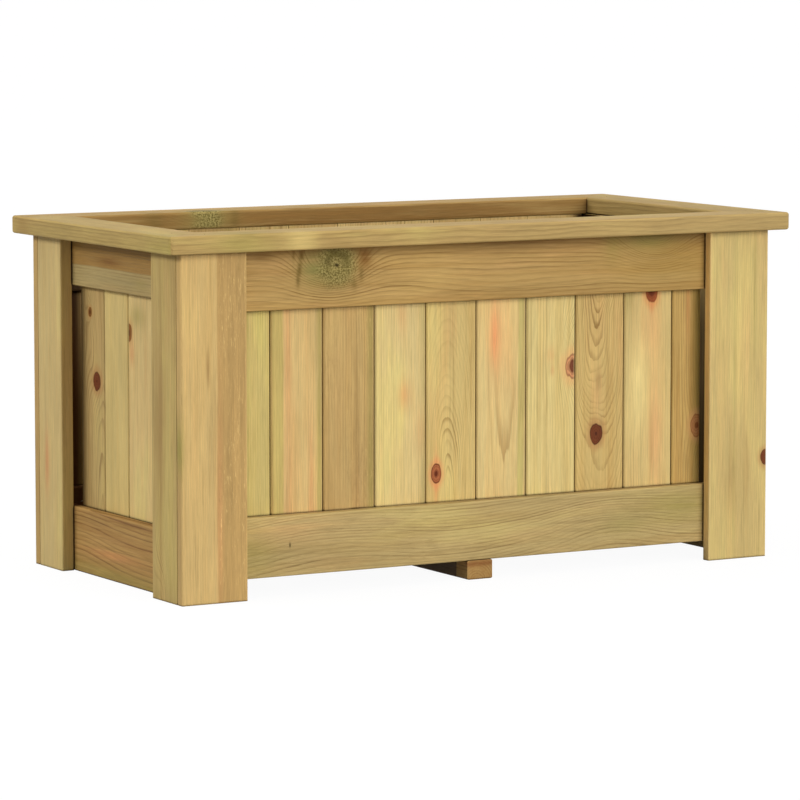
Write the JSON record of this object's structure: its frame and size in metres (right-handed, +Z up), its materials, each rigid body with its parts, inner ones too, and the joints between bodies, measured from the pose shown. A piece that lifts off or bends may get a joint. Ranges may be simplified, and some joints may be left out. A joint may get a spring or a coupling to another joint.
{
  "type": "raised garden bed",
  "caption": "Rectangular wooden raised bed: upright tongue-and-groove planks between rails and L-shaped corner posts, flat rim on top, slatted floor.",
  "frame": {"origin": "on the ground, under the middle of the bed (centre of the bounding box's bottom face)", "axes": "+X along the bed's length to the right seen from the front, +Y from the front long side to the back, +Z up"},
  "size_m": [0.8, 0.4, 0.4],
  "materials": {
    "rim_wood": "planed, matt, pressure-treated, olive-tan",
    "post_wood": "planed, matt, pressure-treated, pale yellow-tan",
    "rail_wood": "planed, matt, pressure-treated, warm tan",
    "plank_wood": "planed, matt, pressure-treated, varied tan",
    "floor_wood": "planed, matt, pressure-treated",
    "zinc_steel": "yellow zinc plated, satin"
  },
  "bodies": {
    "root": {"brads": "zinc_steel", "centre_batten": "floor_wood", "floor_board_1": "floor_wood", "floor_board_2": "floor_wood", "floor_board_3": "floor_wood", "floor_board_4": "floor_wood", "floor_board_5": "floor_wood", "ledger_back": "floor_wood", "ledger_front": "floor_wood", "plank_back_01": "plank_wood", "plank_back_02": "plank_wood", "plank_back_03": "plank_wood", "plank_back_04": "plank_wood", "plank_back_05": "plank_wood", "plank_back_06": "plank_wood", "plank_back_07": "plank_wood", "plank_back_08": "plank_wood", "plank_back_09": "plank_wood", "plank_back_10": "plank_wood", "plank_front_01": "plank_wood", "plank_front_02": "plank_wood", "plank_front_03": "plank_wood", "plank_front_04": "plank_wood", "plank_front_05": "plank_wood", "plank_front_06": "plank_wood", "plank_front_07": "plank_wood", "plank_front_08": "plank_wood", "plank_front_09": "plank_wood", "plank_front_10": "plank_wood", "plank_left_01": "plank_wood", "plank_left_02": "plank_wood", "plank_left_03": "plank_wood", "plank_left_04": "plank_wood", "plank_left_05": "plank_wood", "plank_right_01": "plank_wood", "plank_right_02": "plank_wood", "plank_right_03": "plank_wood", "plank_right_04": "plank_wood", "plank_right_05": "plank_wood", "post_back_left_face": "post_wood", "post_back_left_side": "post_wood", "post_back_right_face": "post_wood", "post_back_right_side": "post_wood", "post_front_left_face": "post_wood", "post_front_left_side": "post_wood", "post_front_right_face": "post_wood", "post_front_right_side": "post_wood", "rail_back_bottom": "rail_wood", "rail_back_top": "rail_wood", "rail_front_bottom": "rail_wood", "rail_front_top": "rail_wood", "rail_left_bottom": "rail_wood", "rail_left_top": "rail_wood", "rail_right_bottom": "rail_wood", "rail_right_top": "rail_wood", "rim_back": "rim_wood", "rim_front": "rim_wood", "rim_left": "rim_wood", "rim_right": "rim_wood", "staples": "zinc_steel"}
  },
  "joints": []
}
